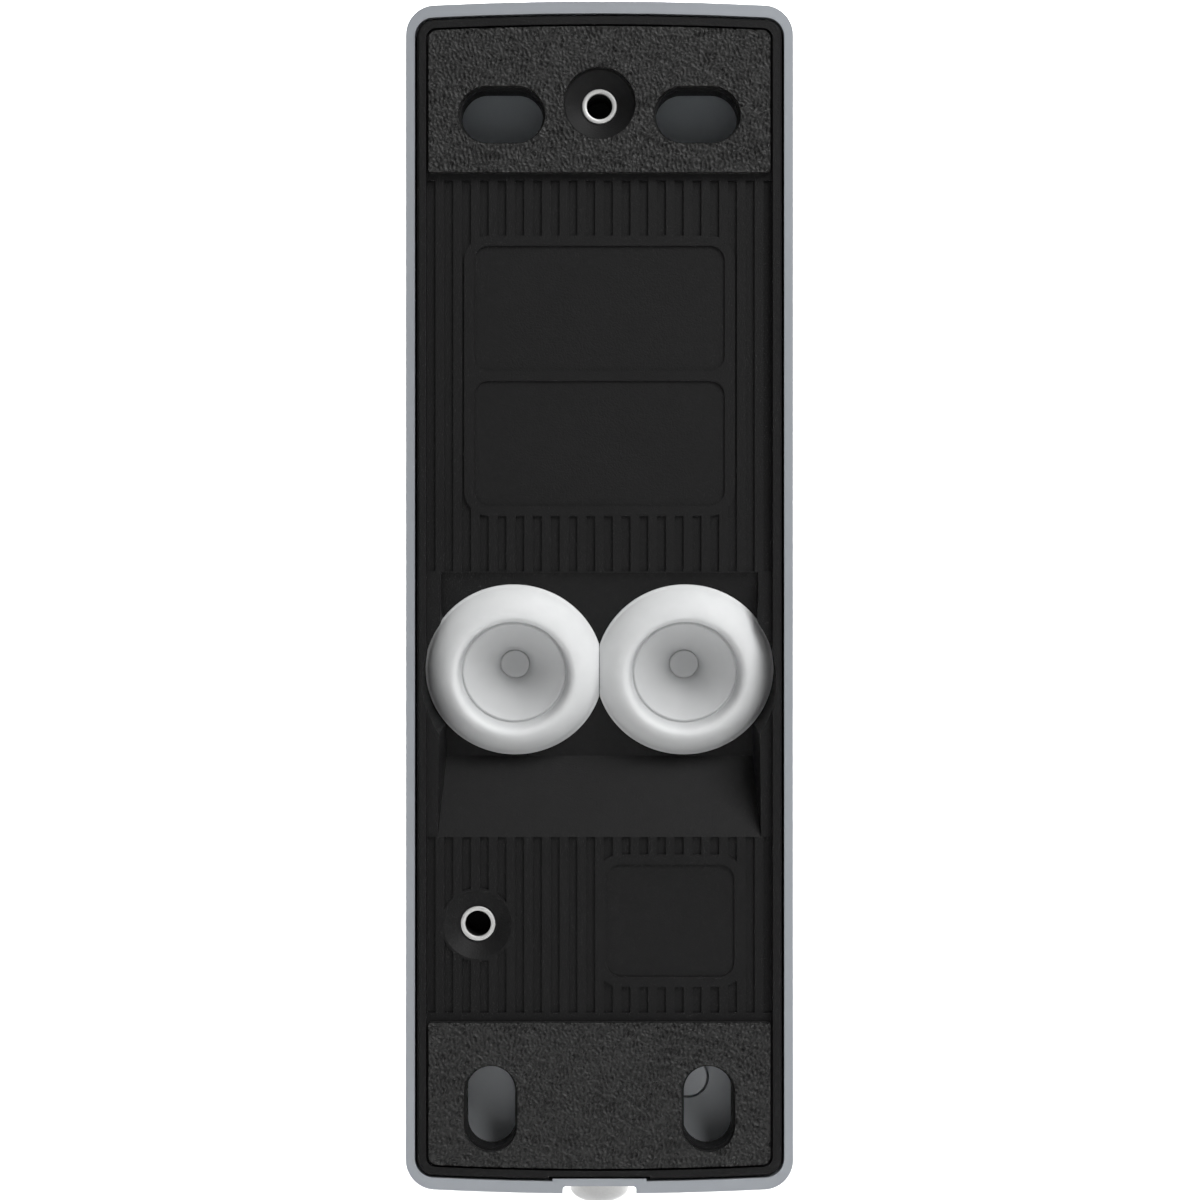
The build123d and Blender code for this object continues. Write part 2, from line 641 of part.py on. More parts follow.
def camera_flex():
    """Flat ribbon from the sensor board to the main board."""
    z0 = CAMERA_Z - 7.4
    z1 = CAMERA_Z - 9.3
    z2 = BOARD_TOP - 1.0
    z3 = BOARD_TOP - 3.0
    thick = 0.2
    a = -CAMERA_FRONT
    b = -BOARD_REAR
    points = [
        (a, z0),
        (a, z1),
        (b + thick, z2),
        (b + thick, z3),
        (b, z3),
        (b, z2 + thick),
        (a - thick, z1 + thick),
        (a - thick, z0),
    ]
    return extrude(Plane.YZ * make_face(Polyline(*points, close=True)), 4.0, both=True)


def speaker_slots():
    """Round-ended sound slots in front of the loudspeaker."""
    return [slot(0, SPEAKER_Z + step * 3.2, 16.0, 1.5, False) for step in range(-2, 3)]


def speaker_basket():
    """Frame and magnet cup of the loudspeaker."""
    near = BOARD_FRONT + 0.2
    far = LID_INNER - SEAL_THICKNESS
    body = rod(0, SPEAKER_Z, SPEAKER_RADIUS, far - 1.6, far)
    body += rod(0, SPEAKER_Z, 0.62 * SPEAKER_RADIUS, near, far - 1.6)
    return body - rod(0, SPEAKER_Z, SPEAKER_RADIUS - 1.2, far - 1.0, far)


def speaker_cone():
    """Diaphragm with its roll surround."""
    far = LID_INNER - SEAL_THICKNESS
    outer = SPEAKER_RADIUS - 1.3
    place = front_plane(0, SPEAKER_Z, far - 1.0)
    points = [
        (0, 0),
        (outer, 0),
        (outer, 0.25),
        (outer - 1.0, 0.7),
        (outer - 2.0, 0.25),
        (outer * 0.45, 0.2),
        (outer * 0.3, 0.55),
        (0, 0.75),
    ]
    return turned(points, place)


def speaker_seal():
    """Soft ring between the loudspeaker and the lid."""
    far = LID_INNER
    return tube(0, SPEAKER_Z, SPEAKER_RADIUS, SPEAKER_RADIUS - 1.2, far - SEAL_THICKNESS, far)


def call_switch():
    """Tall push switch under the call button."""
    body = block((-3.0, 3.0), (BUTTON_Z - 3.0, BUTTON_Z + 3.0), BOARD_FRONT, BOARD_FRONT + 3.5)
    return body + rod(0, BUTTON_Z, 1.75, BOARD_FRONT + 3.5, LID_FRONT + 0.2)


def reset_switch():
    """Low push switch under the reset button."""
    x, z = RESET
    body = block((x - 2.1, x + 2.1), (z - 2.1, z + 2.1), BOARD_FRONT, BOARD_FRONT + 1.9)
    return body + rod(x, z, 0.9, BOARD_FRONT + 1.9, BOARD_FRONT + 2.4)


def reset_button():
    """Small pin button held behind the lid by its collar."""
    x, z = RESET
    near = BOARD_FRONT + 2.4 + RESET_TRAVEL + 0.1
    body = rod(x, z, 1.4, near, LID_FRONT - 0.1)
    return body + rod(x, z, 2.3, LID_INNER - 0.9, LID_INNER - 0.1)


def reader_board():
    """Card reader board against the inside of the lid."""
    span = (READER_Z - READER_HALF, READER_Z + READER_HALF)
    return block((-17.0, 17.0), span, LID_INNER - 0.8, LID_INNER)


def reader_coil():
    """Flat copper coil on the reader board."""
    place = Pos(0, READER_Z)
    outer = RectangleRounded(31.0, 2 * READER_HALF - 3.0, 2.5)
    inner = RectangleRounded(26.0, 2 * READER_HALF - 8.0, 1.5)
    return slab(place * (outer - inner), LID_INNER - 1.0, LID_INNER - 0.8)


def microphone():
    """Microphone capsule on the tongue of the main board."""
    return block((-1.9, 1.9), (MIC_Z - 1.4, MIC_Z + 1.4), BOARD_FRONT, BOARD_FRONT + 1.4)


def microphone_seal():
    """Rubber tube that leads sound from the lid to the microphone."""
    return tube(0, MIC_Z, 1.35, MIC_RADIUS, BOARD_FRONT + 1.4, LID_INNER)


def ring_led_board():
    """Ring of flexible board on the lid round the call switch."""
    return tube(0, BUTTON_Z, RING_OUTER + 1.0, RING_INNER + 1.2, LID_FRONT, LID_FRONT + 0.4)


def ring_leds():
    """Six lamps that light the ring round the call button."""
    lamps = []
    for index in range(6):
        angle = math.radians(60 * index + 30)
        x = (RING_OUTER + 0.15) * math.cos(angle)
        z = BUTTON_Z + (RING_OUTER + 0.15) * math.sin(angle)
        lamps.append(block((x - 0.5, x + 0.5), (z - 0.5, z + 0.5), LID_FRONT + 0.4, LID_FRONT + 0.9))
    return Compound(lamps)


def tamper_sensor():
    """Magnetic sensor that watches the magnet in the cover."""
    return block((-10.5, -6.5), (MIC_Z - 1.0, MIC_Z + 1.0), BOARD_FRONT, BOARD_FRONT + 1.2)


def screw_notch():
    """Recess in the cover's bottom edge for the screw head, open to the wall side."""
    sketch = Circle(NOTCH_HALF_WIDTH) + Pos(0, 5) * Rectangle(2 * NOTCH_HALF_WIDTH, 10)
    body = extrude(screw_plane(-END - 1.0) * sketch, NOTCH_RISE + 1.0)
    return fillet(body.faces().sort_by(Axis.Z)[-1].edges(), 0.5)


def cover_shell():
    """One-piece cover: crowned ends, recessed front for the window, hooks, screw boss."""
    body = slab(outline(HALF, END, CORNER_RADIUS), COVER_OFF_WALL, DEPTH)
    body = fillet(body.faces().sort_by(Axis.Y)[0].edges(), FRONT_EDGE_RADIUS)
    inner = outline(HALF - SIDE_WALL, END - END_WALL, CORNER_RADIUS - 1.4)
    body -= slab(inner, COVER_OFF_WALL, DEPTH - FRONT_WALL)
    body -= slab(panel(WINDOW_HALF + 0.15, WINDOW_END + 0.15, 3.15), LEDGE, DEPTH)
    body -= slab(panel(WINDOW_HALF - 2.0, WINDOW_END - 2.0, 1.5), DEPTH - FRONT_WALL, LEDGE)
    body += block((-6.3, 6.3), (BOSS_Z - 0.8, BOSS_Z), COVER_OFF_WALL, SCREW_DEPTH + 6.0)
    for x0, x1 in ((-14.0, -8.0), (8.0, 14.0)):
        body += block((x0, x1), (RIM_END, END - END_WALL + 0.5), 5.0, 6.5)
    body -= screw_notch()
    return body - screw_plane(-END) * Cylinder(2.2, 6.0)


def front_window():
    """Dark front pane with openings for the lens, sound, microphone and call button."""
    body = slab(panel(WINDOW_HALF, WINDOW_END, 3.0), WINDOW_REAR, DEPTH)
    body = chamfer(body.faces().sort_by(Axis.Y)[0].edges(), 0.25)
    body -= rod(0, CAMERA_Z, 8.5, WINDOW_REAR, DEPTH)
    for shape in speaker_slots():
        body -= slab(shape, WINDOW_REAR, DEPTH)
    body -= rod(0, MIC_Z, MIC_RADIUS, WINDOW_REAR, DEPTH)
    return body - rod(0, BUTTON_Z, RING_OUTER + 0.1, WINDOW_REAR, DEPTH)


def window_tape():
    """Bonding tape between the pane and the cover's ledge."""
    ring = panel(WINDOW_HALF, WINDOW_END, 3.0) - panel(WINDOW_HALF - 2.0, WINDOW_END - 2.0, 1.5)
    return slab(ring, LEDGE, WINDOW_REAR)


def speaker_mesh():
    """Fine mesh behind the sound slots."""
    return block((-10.0, 10.0), (SPEAKER_Z - 8.5, SPEAKER_Z + 8.5), WINDOW_REAR - 0.4, WINDOW_REAR)


def light_ring():
    """Translucent ring round the call button, flanged behind the pane."""
    body = tube(0, BUTTON_Z, RING_OUTER, RING_INNER, WINDOW_REAR, DEPTH)
    return body + tube(0, BUTTON_Z, RING_OUTER + RING_FLANGE, RING_INNER, WINDOW_REAR - 0.6, WINDOW_REAR)


def lens_cover_glass():
    """Clear pane over the lens, flanged behind the front pane."""
    body = rod(0, CAMERA_Z, 8.4, WINDOW_REAR, DEPTH - 0.2)
    return body + rod(0, CAMERA_Z, 9.4, WINDOW_REAR - 0.4, WINDOW_REAR)


def microphone_foam():
    """Soft ring that closes the gap from the pane to the lid round the microphone hole."""
    return tube(0, MIC_Z, 1.8, 0.9, LID_FRONT + 0.1, WINDOW_REAR)


def liner(side):
    """Painted plate that closes the cover behind one ear's slots, on two posts to the front wall."""
    far = LINER_DEPTH + LINER_THICKNESS
    area = Pos(0, side * (LINER_LOW + LINER_EDGE + END)) * Rectangle(2 * HALF, 2 * END)
    face = outline(HALF - SIDE_WALL - 0.8, LINER_HIGH, 2.0) & area
    body = slab(face, LINER_DEPTH, far)
    for x in (-BAY_HALF + 4.0, BAY_HALF - 4.0):
        body += rod(x, side * (LINER_HIGH - 7.0), LINER_POST_RADIUS, far, DEPTH - FRONT_WALL)
    return body


def lower_liner():
    """Lower liner plate with a cup for the magnet."""
    x, z = MAGNET
    body = liner(-1)
    body += rod(x, z, MAGNET_RADIUS + 1.5, LINER_DEPTH + 0.5, LINER_DEPTH + MAGNET_THICKNESS + 1.0)
    return body - rod(x, z, MAGNET_RADIUS + MAGNET_GAP, LINER_DEPTH, LINER_DEPTH + MAGNET_THICKNESS)


def tamper_magnet():
    """Round magnet in the cup of the lower liner."""
    body = rod(*MAGNET, MAGNET_RADIUS, LINER_DEPTH, LINER_DEPTH + MAGNET_THICKNESS)
    return chamfer(body.faces().sort_by(Axis.Y)[-1].edges(), 0.15)


def clamp_nut():
    """Square nut that draws the cover's edge against the chassis."""
    sketch = RectangleRounded(NUT_SIDE, NUT_SIDE, 0.5) - Circle(2.05)
    return extrude(screw_plane(CLAMP_Z + 0.05) * sketch, NUT_THICKNESS)


def call_button():
    """Round call button with a shallow dish and a retaining collar."""
    collar = WINDOW_REAR - 0.7
    radius = BUTTON_RADIUS
    height = DEPTH + 0.3 - collar
    points = [
        (0, -0.7),
        (radius + 1.1, -0.7),
        (radius + 1.1, 0),
        (radius, 0),
        (radius, height - 0.4),
        (radius - 0.4, height),
        (radius - 1.6, height),
        (radius * 0.6, height - 0.45),
        (radius * 0.3, height - 0.65),
        (0, height - 0.7),
    ]
    return turned(points, front_plane(0, BUTTON_Z, collar))


def screw_washer():
    """Flat washer under the cover screw's head."""
    sketch = Circle(WASHER_RADIUS) - Circle(SCREW_RADIUS + 0.17)
    return extrude(screw_plane(NOTCH_Z - WASHER_THICKNESS) * sketch, WASHER_THICKNESS)


def cover_screw():
    """Domed security screw: head below the cover, shank up through the boss into the nut."""
    seat = NOTCH_Z - WASHER_THICKNESS
    top = CLAMP_Z + NUT_THICKNESS + 1.3
    points = [(0, 0), (SCREW_HEAD_RADIUS, 0), (SCREW_HEAD_RADIUS, -0.9)]
    for step in range(1, 7):
        angle = math.radians(15 * step)
        radius = SCREW_HEAD_RADIUS * math.cos(angle)
        drop = 0.9 + (SCREW_HEAD_HEIGHT - 0.9) * math.sin(angle)
        points.append((max(radius, 0.0), -drop))
    body = turned(points, screw_plane(seat))
    body += extrude(screw_plane(seat) * Circle(SCREW_RADIUS), top - seat)
    drive = RegularPolygon(1.55, 6) - Circle(0.5)
    return body - extrude(screw_plane(seat - SCREW_HEAD_HEIGHT) * drive, 1.9)


PIECES = {
    "chassis": chassis,
    "electronics_lid": electronics_lid,
    "lid_seal": lid_seal,
    "lid_screws": lid_screws,
    "main_board": main_board,
    "board_parts": board_parts,
    "board_screws": board_screws,
    "network_jack": network_jack,
    "terminal_block": terminal_block,
    "camera_board": camera_board,
    "camera_screws": camera_screws,
    "lens_holder": lens_holder,
    "lens_barrel": lens_barrel,
    "lens_element": lens_element,
    "led_board": led_board,
    "infrared_leds": infrared_leds,
    "camera_flex": camera_flex,
    "speaker_basket": speaker_basket,
    "speaker_cone": speaker_cone,
    "speaker_seal": speaker_seal,
    "call_switch": call_switch,
    "reset_switch": reset_switch,
    "reset_button": reset_button,
    "reader_board": reader_board,
    "reader_coil": reader_coil,
    "microphone": microphone,
    "microphone_seal": microphone_seal,
    "ring_led_board": ring_led_board,
    "ring_leds": ring_leds,
    "tamper_sensor": tamper_sensor,
    "cover_shell": cover_shell,
    "front_window": front_window,
    "window_tape": window_tape,
    "speaker_mesh": speaker_mesh,
    "light_ring": light_ring,
    "lens_cover_glass": lens_cover_glass,
    "microphone_foam": microphone_foam,
    "lower_liner": lower_liner,
    "tamper_magnet": tamper_magnet,
    "clamp_nut": clamp_nut,
    "call_button": call_button,
    "screw_washer": screw_washer,
    "cover_screw": cover_screw,
}

for piece, make in PIECES.items():
    save(make(), piece)
save(liner(1), "upper_liner")
save(wall_pad(1), "upper_wall_pad")
save(wall_pad(-1), "lower_wall_pad")
save(cable_gasket(), "right_cable_gasket")
save(mirror(cable_gasket(), about=Plane.YZ), "left_cable_gasket")
save(thread_insert(*UPPER_INSERT), "upper_thread_insert")
save(thread_insert(*LOWER_INSERT), "lower_thread_insert")
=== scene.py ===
"""Looks of a slim wall-mounted door station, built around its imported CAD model.

Metres, +Z up, the wall plane at Y = 0 and the front toward -Y.
"""

import json
import math

import bmesh
import bpy
import numpy as np
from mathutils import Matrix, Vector


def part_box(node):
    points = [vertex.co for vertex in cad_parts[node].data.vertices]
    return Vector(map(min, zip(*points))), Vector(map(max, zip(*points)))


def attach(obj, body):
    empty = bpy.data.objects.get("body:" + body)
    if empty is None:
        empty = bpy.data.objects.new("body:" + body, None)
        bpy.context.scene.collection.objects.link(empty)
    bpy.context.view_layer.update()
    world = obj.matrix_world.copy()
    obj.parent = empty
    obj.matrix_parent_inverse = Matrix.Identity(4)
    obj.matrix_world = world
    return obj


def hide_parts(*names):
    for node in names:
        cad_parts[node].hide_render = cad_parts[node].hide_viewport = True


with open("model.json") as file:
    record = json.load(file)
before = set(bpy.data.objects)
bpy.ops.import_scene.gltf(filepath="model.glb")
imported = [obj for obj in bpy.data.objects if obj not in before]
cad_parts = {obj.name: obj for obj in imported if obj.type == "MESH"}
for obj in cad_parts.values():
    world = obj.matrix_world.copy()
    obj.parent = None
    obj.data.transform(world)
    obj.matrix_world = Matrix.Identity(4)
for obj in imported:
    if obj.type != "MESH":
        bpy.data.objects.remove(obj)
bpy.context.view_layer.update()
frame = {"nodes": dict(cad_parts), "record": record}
nodes = frame["nodes"]
MM = 0.001


# ---------------------------------------------------------------------------------------------
# Viewpoint: square on to the wall side, as if the wall were lifted away. The lens stands about
# twice the cover's height back from it.
VIEW_DISTANCE = 0.300
VIEW_SPAN = 0.16074
VIEW_OFFSET = (-0.00007, -0.00034)
camera = bpy.data.cameras.new("viewpoint")
camera.angle = 2 * math.atan(VIEW_SPAN / 2 / VIEW_DISTANCE)
camera.clip_start = 0.01
viewer = bpy.data.objects.new("viewpoint", camera)
viewer.location = (VIEW_OFFSET[0], VIEW_DISTANCE, VIEW_OFFSET[1])
viewer.rotation_euler = (math.radians(90), 0, math.radians(180))
bpy.context.scene.collection.objects.link(viewer)
bpy.context.scene.camera = viewer
bpy.context.scene.view_settings.view_transform = "Standard"


# ---------------------------------------------------------------------------------------------
# Chassis: black glass-filled moulding with a fine spark-eroded skin and a faint cloudiness. The
# lid over the electronics and the reset button are of the same moulding.
class Flow:
    """One shader value. Python's operators on it add Math nodes to the same finish."""

    def __init__(self, finish, socket):
        self.finish = finish
        self.socket = socket

    def maths(self, operation, a, b, c=0.0):
        return self.finish.node("ShaderNodeMath", {"operation": operation}, {0: a, 1: b, 2: c})

    def __add__(self, other):
        return self.maths("ADD", self, other)

    def __sub__(self, other):
        return self.maths("SUBTRACT", self, other)

    def __rsub__(self, other):
        return self.maths("SUBTRACT", other, self)

    def __mul__(self, other):
        return self.maths("MULTIPLY", self, other)

    def __truediv__(self, other):
        return self.maths("DIVIDE", self, other)

    def __pow__(self, other):
        return self.maths("POWER", self, other)

    __radd__ = __add__
    __rmul__ = __mul__


class Finish:
    """A surface finish under construction: one principled shader and the nodes that feed it."""

    def __init__(self, name, **constants):
        self.material = bpy.data.materials.new(name)
        self.material.use_nodes = True
        self.tree = self.material.node_tree
        self.shader = self.tree.nodes["Principled BSDF"]
        self.place = self.node("ShaderNodeTexCoord", {}, {}, "Object")
        for key, value in constants.items():
            self.set(key.replace("_", " "), value)

    def node(self, kind, settings, values, out=0):
        """Adds a node with its settings, fills its sockets with values or links, gives one output."""
        made = self.tree.nodes.new(kind)
        for key, value in settings.items():
            if key == "stops":
                ramp = made.color_ramp
                while len(ramp.elements) < len(value):
                    ramp.elements.new(0.5)
                for element, (at, colour) in zip(ramp.elements, value):
                    element.position = at
                    grey = isinstance(colour, float)
                    element.color = (colour, colour, colour, 1) if grey else (*colour, 1)
            else:
                setattr(made, key, value)
        for key, value in values.items():
            if isinstance(value, Flow):
                self.tree.links.new(value.socket, made.inputs[key])
            else:
                made.inputs[key].default_value = value
        return Flow(self, made.outputs[out])

    def set(self, socket, value):
        """Feeds one socket of the shader."""
        if isinstance(value, Flow):
            self.tree.links.new(value.socket, self.shader.inputs[socket])
        else:
            self.shader.inputs[socket].default_value = value

    def noise(self, per_mm, detail=2.0, roughness=0.5, where=None):
        """Smooth random field with about per_mm features in a millimetre."""
        values = {"Vector": where or self.place, "Scale": per_mm / MM}
        values.update({"Detail": detail, "Roughness": roughness})
        return self.node("ShaderNodeTexNoise", {}, values)

    def cells(self, per_mm, feature="F1", where=None):
        """Cell field with about per_mm cells in a millimetre."""
        values = {"Vector": where or self.place, "Scale": per_mm / MM}
        return self.node("ShaderNodeTexVoronoi", {"feature": feature}, values)

    def ramp(self, value, *stops):
        """Value run through stops of (position, grey or colour)."""
        return self.node("ShaderNodeValToRGB", {"stops": stops}, {0: value})

    def blend(self, factor, a, b):
        """Colour a where the factor is 0 and b where it is 1."""
        return self.node("ShaderNodeMix", {"data_type": "RGBA"}, {0: factor, 6: a, 7: b}, 2)

    def split(self):
        """The three Object coordinates as separate values."""
        made = self.tree.nodes.new("ShaderNodeSeparateXYZ")
        self.tree.links.new(self.place.socket, made.inputs[0])
        return [Flow(self, out) for out in made.outputs]

    def relief(self, height, depth_mm, strength=1.0):
        """Feeds a height field of 0 to 1 to the shader's normal."""
        values = {"Height": height, "Distance": depth_mm * MM, "Strength": strength}
        self.set("Normal", self.node("ShaderNodeBump", {}, values))


def dress(finish, *names):
    """Gives CAD nodes a finish."""
    for name in names:
        mesh = nodes[name].data
        mesh.materials.clear()
        mesh.materials.append(finish.material)


moulding = Finish("black_moulding", IOR=1.5, Specular_IOR_Level=0.15)
grain = moulding.noise(5.0, 3.0)
cloud = moulding.noise(0.12, 3.0)
moulding.set("Base Color", moulding.blend(cloud, (0.0080, 0.0080, 0.0082, 1), (0.0105, 0.0105, 0.0108, 1)))
moulding.set("Roughness", 0.44 + grain * 0.16)
moulding.relief(grain, 0.06, 1.0)
dress(moulding, "chassis", "electronics_lid", "reset_button")


# ---------------------------------------------------------------------------------------------
# Wall pads: two sheets of closed-cell foam with a coarse wrinkled skin, stuck into the ears of the
# chassis. They take up the unevenness of the wall.
WARP = 0.6 * MM
foam = Finish("wrinkled_foam", IOR=1.45, Specular_IOR_Level=0.3)
bend = foam.noise(1.1, 2.0)
spread_out = {0: bend, 1: (WARP, WARP, WARP), 2: foam.place}
warped = foam.node("ShaderNodeVectorMath", {"operation": "MULTIPLY_ADD"}, spread_out)
wrinkle = foam.noise(2.3, 3.0, 0.6, warped)
folds = foam.cells(2.6, "SMOOTH_F1", warped)
skin = wrinkle * 0.7 + folds * 0.45
# Painted shade and highlight: the colour follows the same height field as the bump, near black in the
# creases and lighter on the ridges.
foam.set("Base Color", foam.ramp(skin, (0.35, (0.006, 0.006, 0.006)), (0.62, (0.026, 0.026, 0.0256))))
foam.set("Roughness", 0.52 - wrinkle * 0.2)
foam.relief(skin, 0.2, 0.8)
PAD_CELL = 0.14
WALL_FACE = 0.9
ON_FACE = 1e-6
FOLD_SEED = 7
FOLD_LENGTHS = (0.8, 1.35)
FOLD_SWING = 0.9
FOLD_PEAK = 1.6
FOLD_DEPTH = 0.32
FOLD_WAVES = ((1.05, 0.6), (0.75, 0.4))
FOLD_COUNT = 48


def fold_depth(x, z):
    """Depth of the skin's folds at points in millimetres: over two bands, weight * |c|, where c adds up
    cosine waves of random phase, of lengths around the band's and directions closer to X than to Z."""
    pick = np.random.default_rng(FOLD_SEED)
    total = np.zeros_like(x)
    for wave, weight in FOLD_WAVES:
        length = wave * pick.uniform(*FOLD_LENGTHS, FOLD_COUNT)
        angle = pick.normal(0, FOLD_SWING, FOLD_COUNT)
        phase = pick.uniform(0, 2 * np.pi, FOLD_COUNT)
        run = x[:, None] * np.cos(angle) + z[:, None] * np.sin(angle)
        waves = np.cos(2 * np.pi * run / length + phase).sum(1)
        total += weight * np.abs(waves) / (FOLD_PEAK * FOLD_COUNT**0.5)
    return FOLD_DEPTH * np.minimum(total, 1.0)


def wrinkled(name):
    """Copy of a pad whose wall face is cut into fine cells and pressed in along the folds."""
    work = bmesh.new()
    work.from_mesh(nodes[name].data)
    low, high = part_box(name)
    for axis in (0, 2):
        normal = Vector((axis == 0, 0, axis == 2))
        for cut in np.arange(low[axis] + PAD_CELL * MM / 2, high[axis], PAD_CELL * MM):
            faces = [face for face in work.faces if face.normal.y > WALL_FACE]
            part = faces + list({edge for face in faces for edge in face.edges})
            part += list({vert for face in faces for vert in face.verts})
            bmesh.ops.bisect_plane(work, geom=part, plane_co=normal * float(cut), plane_no=normal)
    wall = [vert for vert in work.verts if vert.co.y > high[1] - ON_FACE]
    at = np.array([vert.co[:] for vert in wall]) / MM
    for vert, depth in zip(wall, fold_depth(at[:, 0], at[:, 2])):
        vert.co.y -= depth * MM
    bmesh.ops.triangulate(work, faces=work.faces)
    mesh = bpy.data.meshes.new(name + "_skin")
    work.to_mesh(mesh)
    work.free()
    mesh.materials.clear()
    mesh.materials.append(foam.material)
    made = bpy.data.objects.new(name + "_skin", mesh)
    bpy.context.scene.collection.objects.link(made)
    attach(made, "chassis")
    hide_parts(name)


for pad in ("upper_wall_pad", "lower_wall_pad"):
    wrinkled(pad)


# ---------------------------------------------------------------------------------------------
# Cable seals: two soft white rubber rings with a funnel that ends in a thin membrane. They sit side
# by side on the tilted seat and press flat against each other.
SEAL_STEPS = 4
SEAL_AROUND = 160
SEAL_CLEAR = 0.02
SEAL_PROFILE = [
    (0.00, -2.80), (1.20, -2.80), (1.80, -2.80), (1.95, -2.86), (2.02, -3.00), (2.10, -2.84), (2.22, -2.60),
    (2.60, -2.02), (3.20, -1.38), (4.10, -0.62), (5.10, 0.06), (6.00, 0.62), (6.48, 0.96), (6.72, 1.15),
    (6.92, 1.14), (7.08, 1.00), (7.20, 1.02), (7.29, 1.30), (7.38, 1.75), (7.52, 2.35), (7.78, 2.82),
    (8.20, 3.08), (8.70, 3.06), (9.30, 2.84), (9.95, 2.44), (10.60, 1.92), (11.15, 1.36),
    (11.55, 0.82), (11.80, 0.36), (11.90, 0.00),
    (8.30, 0.00), (8.00, -0.20), (8.00, -2.00), (9.10, -2.00), (9.10, -3.30), (3.20, -3.30), (1.00, -3.35),
    (0.00, -3.35),
]


def smooth_profile(points, steps):
    """Catmull-Rom curve through (radius, height) points: each span is a cubic whose slope at a point is
    half the step between its neighbours."""
    p = np.array(points, float)
    p = np.vstack([2 * p[0] - p[1], p, 2 * p[-1] - p[-2]])
    t = np.linspace(0, 1, steps, endpoint=False)[:, None]
    spans = []
    for a, b, c, d in zip(p[:-3], p[1:-2], p[2:-1], p[3:]):
        square = (2 * a - 5 * b + 4 * c - d) * t**2
        cube = (3 * b - a - 3 * c + d) * t**3
        spans.append(0.5 * (2 * b + (c - a) * t + square + cube))
    return np.vstack([*spans, p[-2:-1]])


def lathe(profile, around):
    """Grid of a profile of (radius, height) rows carried round the Z axis: x = r cos a, y = r sin a,
    z = h. Rows with no radius close to one point."""
    angle = np.linspace(0, 2 * np.pi, around, endpoint=False)
    r, h = profile[:, :1], profile[:, 1:]
    return np.stack([r * np.cos(angle), r * np.sin(angle), h + 0 * angle], -1)


def surface(name, grid, finish, body, replaced, smooth=True):
    """Mesh object from a grid of points, closed round its second parameter, in millimetres."""
    rows, around = grid.shape[:2]
    points = grid.reshape(-1, 3) * MM
    i, j = np.meshgrid(np.arange(rows - 1), np.arange(around), indexing="ij")
    k = (j + 1) % around
    quads = np.stack([i * around + j, i * around + k, (i + 1) * around + k, (i + 1) * around + j], -1)
    mesh = bpy.data.meshes.new(name)
    mesh.from_pydata(points.tolist(), [], quads.reshape(-1, 4).tolist())
    tidy(mesh)
    mesh.shade_smooth() if smooth else mesh.shade_flat()
    mesh.materials.append(finish.material)
    made = bpy.data.objects.new(name, mesh)
    bpy.context.scene.collection.objects.link(made)
    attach(made, body)
    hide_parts(*replaced)


SAME_POINT = 1e-7
NO_LENGTH = 1e-8


def tidy(mesh):
    """Merges coincident points, drops faces with no area and turns all faces outwards."""
    work = bmesh.new()
    work.from_mesh(mesh)
    bmesh.ops.remove_doubles(work, verts=work.verts, dist=SAME_POINT)
    bmesh.ops.dissolve_degenerate(work, edges=work.edges, dist=NO_LENGTH)
    bmesh.ops.recalc_face_normals(work, faces=work.faces)
    work.to_mesh(mesh)
    work.free()


def mount_of(name):
    """Position in millimetres and unit axis of one of the record's mounts."""
    for mount in frame["record"]["mounts"]:
        if mount["name"] == name:
            return np.array(mount["pos_m"]) / MM, np.array(mount["axis"])


def set_on(grid, origin, normal):
    """Carries a grid from the Z axis to an origin and normal: X stays level, Z goes along the normal."""
    normal = np.array(normal, float) / np.linalg.norm(normal)
    across = np.array([1.0, 0, 0]) - normal * normal[0]
    across /= np.linalg.norm(across)
    up = np.cross(normal, across)
    return origin + grid[..., :1] * across + grid[..., 1:2] * up + grid[..., 2:] * normal


def seal_rubber(name, centre, normal):
    """White rubber under painted shade, a grey film that thickens down the funnel where its shade falls:
    the film's share follows the distance from the seal's axis."""
    rubber = Finish(name, IOR=1.42, Specular_IOR_Level=0.3)
    vector = "ShaderNodeVectorMath"
    offset = rubber.node(vector, {"operation": "SUBTRACT"}, {0: rubber.place, 1: tuple(centre * MM)})
    cross = rubber.node(vector, {"operation": "CROSS_PRODUCT"}, {0: offset, 1: tuple(normal)})
    radius = rubber.node(vector, {"operation": "LENGTH"}, {0: cross}, 1) / MM
    patches = rubber.noise(0.5, 4.0)
    matt = rubber.noise(12.0, 2.0)
    stops = (0.10, 1.0), (0.25, 0.85), (0.60, 0.55), (0.74, 0.45), (0.79, 0.0)
    # The film is painted shade: the rubber's colour darkens from the crest down the funnel to the membrane,
    # where the funnel's shade falls.
    film = rubber.ramp(radius * 0.1 + patches * 0.02, *stops)
    bare_rubber = rubber.blend(patches, (0.66, 0.67, 0.675, 1), (0.73, 0.74, 0.742, 1))
    rubber.set("Base Color", rubber.blend(film * 0.9, bare_rubber, (0.36, 0.365, 0.37, 1)))
    rubber.set("Roughness", 0.42 + matt * 0.14)
    rubber.relief(matt, 0.008, 0.5)
    return rubber


for side, name in ((1, "right"), (-1, "left")):
    centre, normal = mount_of(f"{name}_cable_entry")
    ring = lathe(smooth_profile(SEAL_PROFILE, SEAL_STEPS), SEAL_AROUND)
    ring = set_on(ring, centre, normal)
    ring[..., 0] = side * np.maximum(side * ring[..., 0], SEAL_CLEAR)
    rubber = seal_rubber(f"white_rubber_{name}", centre, normal / np.linalg.norm(normal))
    surface(f"{name}_cable_seal", ring, rubber, "chassis", [f"{name}_cable_gasket"])


